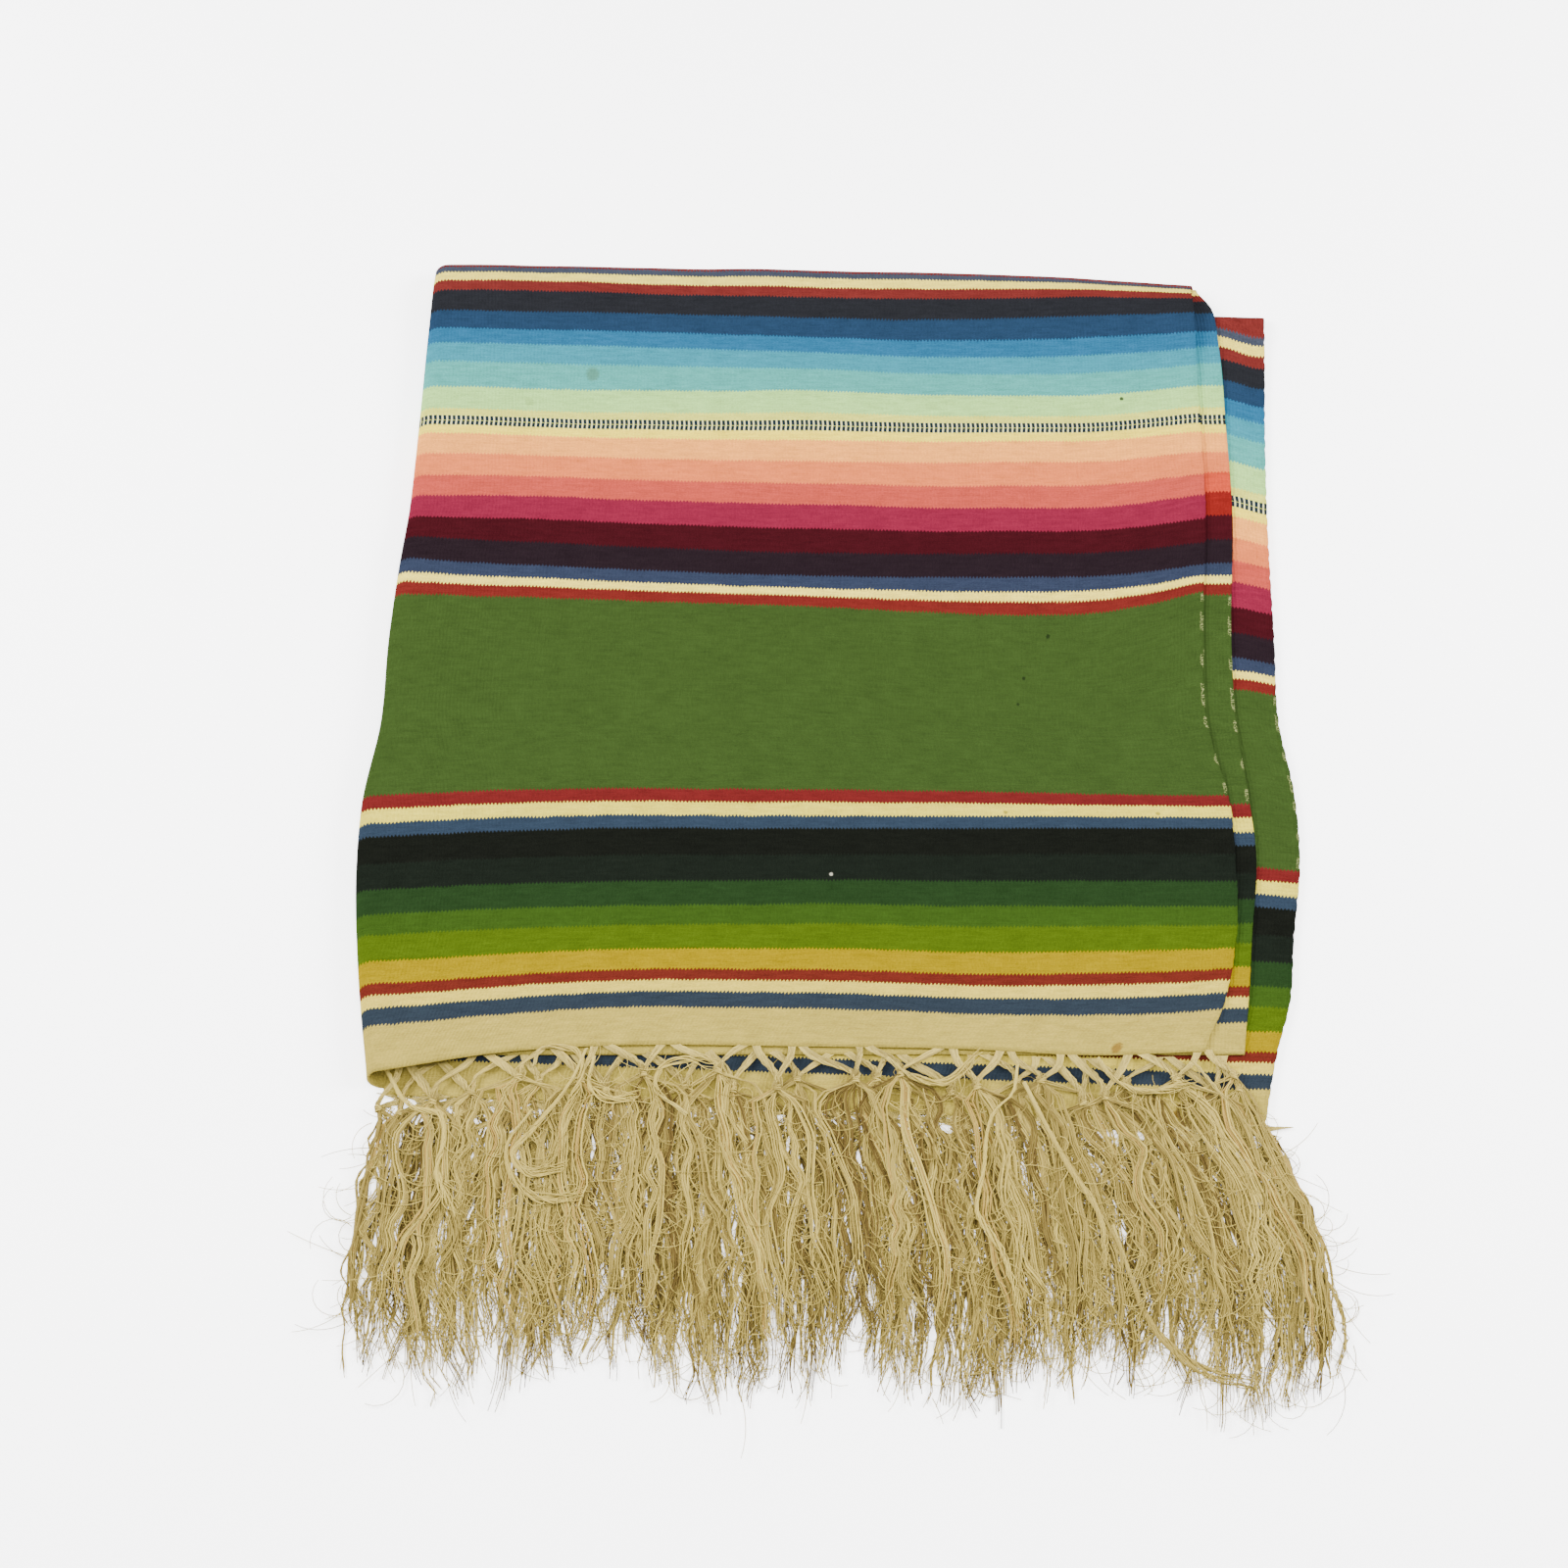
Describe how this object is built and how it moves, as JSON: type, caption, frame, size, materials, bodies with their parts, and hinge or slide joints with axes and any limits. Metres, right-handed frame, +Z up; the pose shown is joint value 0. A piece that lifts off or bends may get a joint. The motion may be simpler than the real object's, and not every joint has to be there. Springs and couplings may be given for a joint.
{
  "type": "folded mexican serape",
  "caption": "Handwoven-look striped serape blanket folded in four, with blended colour bands, a green field, natural borders and a knotted fringe.",
  "frame": {"origin": "bottom centre of the bounding box, on the surface that the folded serape lies on", "axes": "+Z up; +Y from the fringe towards the far fold, along the warp; +X along the stripes, from the left fold to the right selvedges"},
  "size_m": [0.8649, 1.125, 0.0313],
  "materials": {
    "cloth": "matt handwoven cotton with bands of blended colour and a green field",
    "fringe": "matt natural cotton warp yarn, knotted and frayed"
  },
  "bodies": {
    "root": {"first_quarter": "cloth", "second_edge": "cloth", "third_edge": "cloth", "third_hem": "cloth", "lower_fold": "cloth", "hidden_layers": "cloth", "upper_fringe": "fringe", "lower_fringe": "fringe"}
  },
  "joints": []
}
